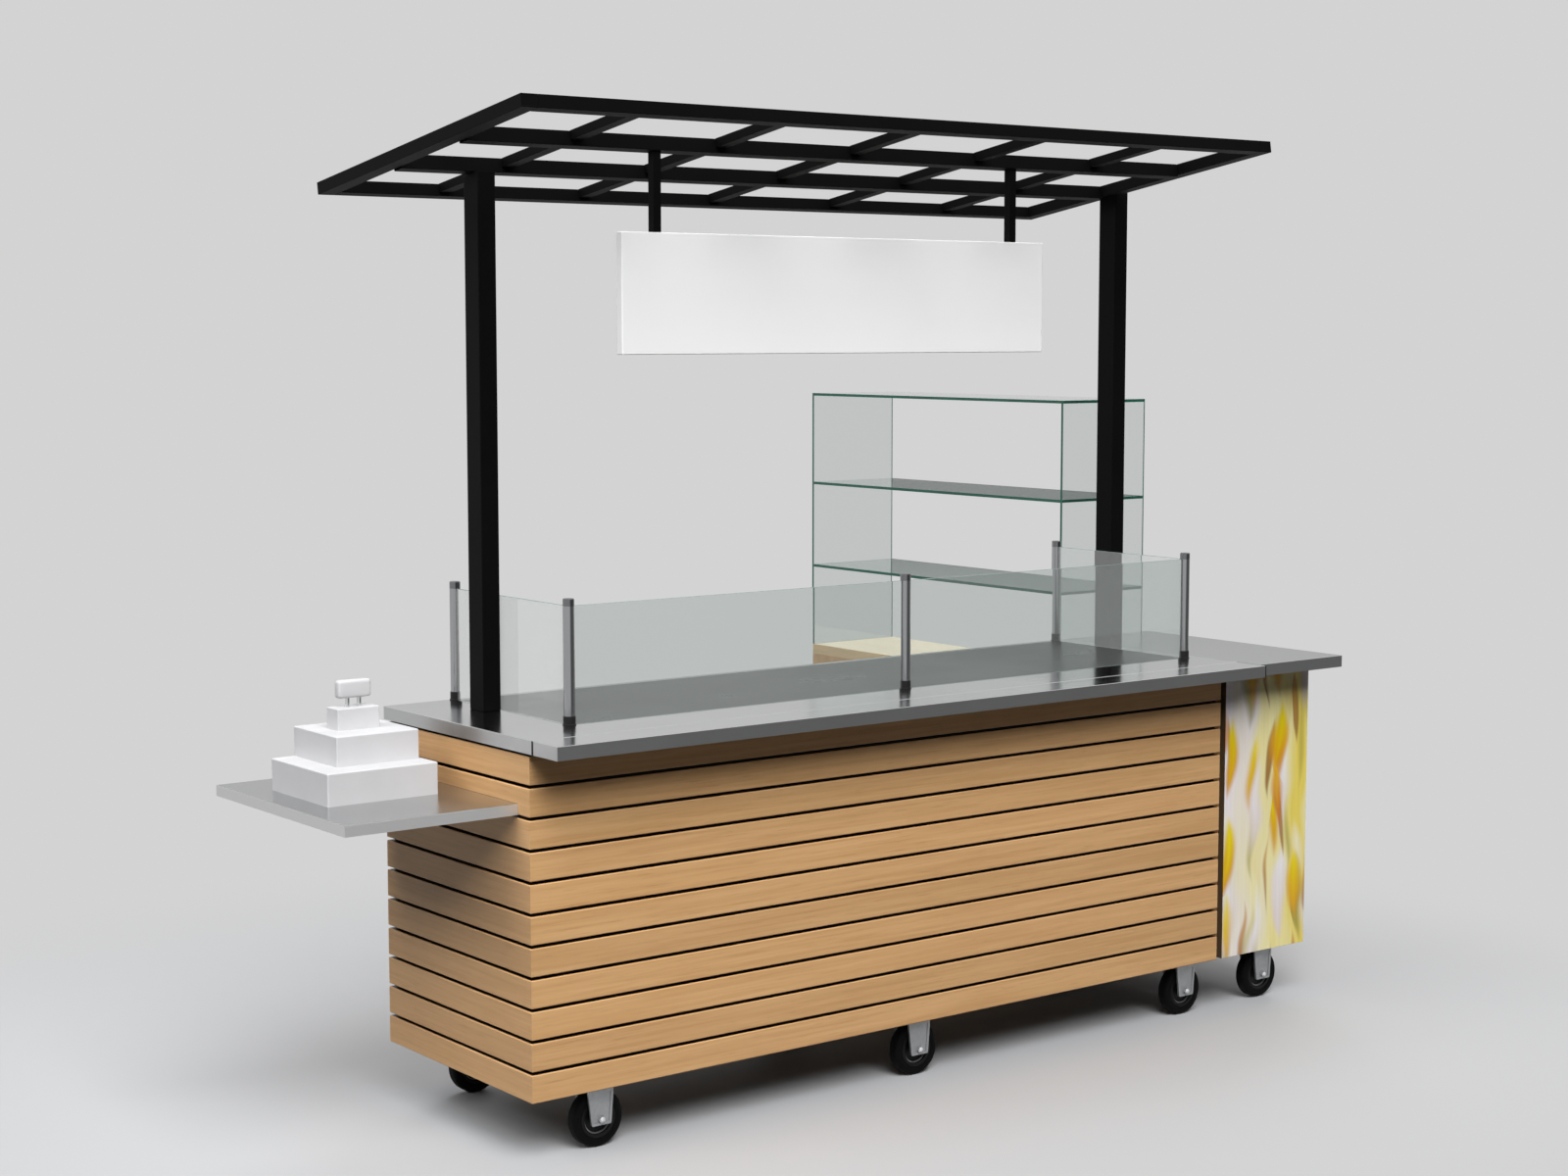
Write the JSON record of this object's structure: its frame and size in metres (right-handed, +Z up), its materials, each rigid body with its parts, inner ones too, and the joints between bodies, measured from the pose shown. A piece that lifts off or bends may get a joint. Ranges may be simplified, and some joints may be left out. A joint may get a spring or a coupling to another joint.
{
  "type": "crepe cart",
  "caption": "L-shaped food cart: slatted wooden counter with steel top and glass guard, tilted lattice canopy, hanging sign, glass display case and till shelf, on swivel casters.",
  "frame": {"origin": "centre of the whole cart's footprint, on the floor", "axes": "+X along the counter to the printed end, +Y from the customer's side to the working side, +Z up"},
  "size_m": [2.837, 1.879, 2.226],
  "materials": {
    "slat_wood": "clear-lacquered hardwood slats with eased edges",
    "cabinet_wood": "satin-lacquered veneered board",
    "deck_wood": "pale oiled wood",
    "backing_board": "dark-stained board",
    "counter_steel": "satin stainless sheet, folded",
    "frame_steel": "powder-coated square tube",
    "black_steel": "black powder coat",
    "guard_glass": "clear float glass with polished edges",
    "case_glass": "clear float glass with green edges",
    "stanchion_steel": "satin stainless bar",
    "cap_black": "moulded black cap",
    "sign_white": "white foamed board, matt",
    "print_face": "board with a laminated printed face",
    "till_white": "moulded white housing",
    "track_aluminium": "anodised extrusion",
    "caster_zinc": "zinc-plated pressing",
    "tyre_rubber": "black rubber bonded to a grey moulded hub"
  },
  "bodies": {
    "cart": {"frame_rails": "frame_steel", "frame_uprights": "frame_steel", "frame_cross_tubes": "frame_steel", "return_base": "frame_steel", "floor_board": "cabinet_wood", "inner_shelf": "cabinet_wood", "backing_boards": "backing_board", "side_panel": "cabinet_wood", "front_slats": "slat_wood", "end_slats": "slat_wood", "main_top": "counter_steel", "front_ledge": "counter_steel", "return_top": "counter_steel", "door_tracks": "track_aluminium", "return_shelves": "cabinet_wood", "print_panel": "print_face", "return_inner_board": "cabinet_wood", "return_outer_boards": "cabinet_wood", "return_partition": "cabinet_wood", "return_end_board": "cabinet_wood", "case_deck": "deck_wood", "face_frame": "cabinet_wood", "case_end_panes": "case_glass", "case_lid": "case_glass", "case_shelves": "case_glass", "stanchions": "stanchion_steel", "stanchion_caps": "cap_black", "guard_front_panes": "guard_glass", "guard_end_panes": "guard_glass", "canopy_end_bars": "black_steel", "canopy_rails": "black_steel", "canopy_cross_bars": "black_steel", "canopy_posts": "black_steel", "sign_rods": "black_steel", "sign_box": "sign_white", "side_shelf": "counter_steel", "till_case": "till_white", "till_body": "till_white", "till_display": "till_white", "caster_plates": "caster_zinc"},
    "left_door": {"left_door": "cabinet_wood"},
    "right_door": {"right_door": "cabinet_wood"},
    "till_drawer": {"till_drawer": "till_white"},
    "front_left_fork": {"front_left_fork": "caster_zinc"},
    "front_left_wheel": {"front_left_wheel": "tyre_rubber"},
    "front_middle_fork": {"front_middle_fork": "caster_zinc"},
    "front_middle_wheel": {"front_middle_wheel": "tyre_rubber"},
    "front_right_fork": {"front_right_fork": "caster_zinc"},
    "front_right_wheel": {"front_right_wheel": "tyre_rubber"},
    "rear_left_fork": {"rear_left_fork": "caster_zinc"},
    "rear_left_wheel": {"rear_left_wheel": "tyre_rubber"},
    "rear_middle_fork": {"rear_middle_fork": "caster_zinc"},
    "rear_middle_wheel": {"rear_middle_wheel": "tyre_rubber"},
    "rear_right_fork": {"rear_right_fork": "caster_zinc"},
    "rear_right_wheel": {"rear_right_wheel": "tyre_rubber"},
    "return_front_fork": {"return_front_fork": "caster_zinc"},
    "return_front_wheel": {"return_front_wheel": "tyre_rubber"},
    "return_rear_fork": {"return_rear_fork": "caster_zinc"},
    "return_rear_wheel": {"return_rear_wheel": "tyre_rubber"}
  },
  "joints": [
    {"name": "left_door_slide", "type": "slide", "parent": "cart", "child": "left_door", "axis": [1, 0, 0], "range_m": [0, 0.99]},
    {"name": "right_door_slide", "type": "slide", "parent": "cart", "child": "right_door", "axis": [-1, 0, 0], "range_m": [0, 0.99]},
    {"name": "till_drawer_slide", "type": "slide", "parent": "cart", "child": "till_drawer", "axis": [0, 1, 0], "range_m": [0, 0.2]},
    {"name": "front_left_swivel", "type": "hinge", "parent": "cart", "child": "front_left_fork", "pos_m": [-0.8435, -0.7375, 0.137], "axis": [0, 0, 1], "continuous": true},
    {"name": "front_left_roll", "type": "hinge", "parent": "front_left_fork", "child": "front_left_wheel", "pos_m": [-0.8235, -0.7375, 0.0635], "axis": [0, 1, 0], "continuous": true},
    {"name": "front_middle_swivel", "type": "hinge", "parent": "cart", "child": "front_middle_fork", "pos_m": [0.0585, -0.7375, 0.137], "axis": [0, 0, 1], "continuous": true},
    {"name": "front_middle_roll", "type": "hinge", "parent": "front_middle_fork", "child": "front_middle_wheel", "pos_m": [0.0785, -0.7375, 0.0635], "axis": [0, 1, 0], "continuous": true},
    {"name": "front_right_swivel", "type": "hinge", "parent": "cart", "child": "front_right_fork", "pos_m": [0.9605, -0.7375, 0.137], "axis": [0, 0, 1], "continuous": true},
    {"name": "front_right_roll", "type": "hinge", "parent": "front_right_fork", "child": "front_right_wheel", "pos_m": [0.9805, -0.7375, 0.0635], "axis": [0, 1, 0], "continuous": true},
    {"name": "rear_left_swivel", "type": "hinge", "parent": "cart", "child": "rear_left_fork", "pos_m": [-0.8435, -0.2275, 0.137], "axis": [0, 0, 1], "continuous": true},
    {"name": "rear_left_roll", "type": "hinge", "parent": "rear_left_fork", "child": "rear_left_wheel", "pos_m": [-0.8235, -0.2275, 0.0635], "axis": [0, 1, 0], "continuous": true},
    {"name": "rear_middle_swivel", "type": "hinge", "parent": "cart", "child": "rear_middle_fork", "pos_m": [0.0585, -0.2275, 0.137], "axis": [0, 0, 1], "continuous": true},
    {"name": "rear_middle_roll", "type": "hinge", "parent": "rear_middle_fork", "child": "rear_middle_wheel", "pos_m": [0.0785, -0.2275, 0.0635], "axis": [0, 1, 0], "continuous": true},
    {"name": "rear_right_swivel", "type": "hinge", "parent": "cart", "child": "rear_right_fork", "pos_m": [0.9605, -0.2275, 0.137], "axis": [0, 0, 1], "continuous": true},
    {"name": "rear_right_roll", "type": "hinge", "parent": "rear_right_fork", "child": "rear_right_wheel", "pos_m": [0.9805, -0.2275, 0.0635], "axis": [0, 1, 0], "continuous": true},
    {"name": "return_front_swivel", "type": "hinge", "parent": "cart", "child": "return_front_fork", "pos_m": [1.2515, -0.7375, 0.137], "axis": [0, 0, 1], "continuous": true},
    {"name": "return_front_roll", "type": "hinge", "parent": "return_front_fork", "child": "return_front_wheel", "pos_m": [1.2715, -0.7375, 0.0635], "axis": [0, 1, 0], "continuous": true},
    {"name": "return_rear_swivel", "type": "hinge", "parent": "cart", "child": "return_rear_fork", "pos_m": [1.2515, 0.8895, 0.137], "axis": [0, 0, 1], "continuous": true},
    {"name": "return_rear_roll", "type": "hinge", "parent": "return_rear_fork", "child": "return_rear_wheel", "pos_m": [1.2715, 0.8895, 0.0635], "axis": [0, 1, 0], "continuous": true}
  ]
}
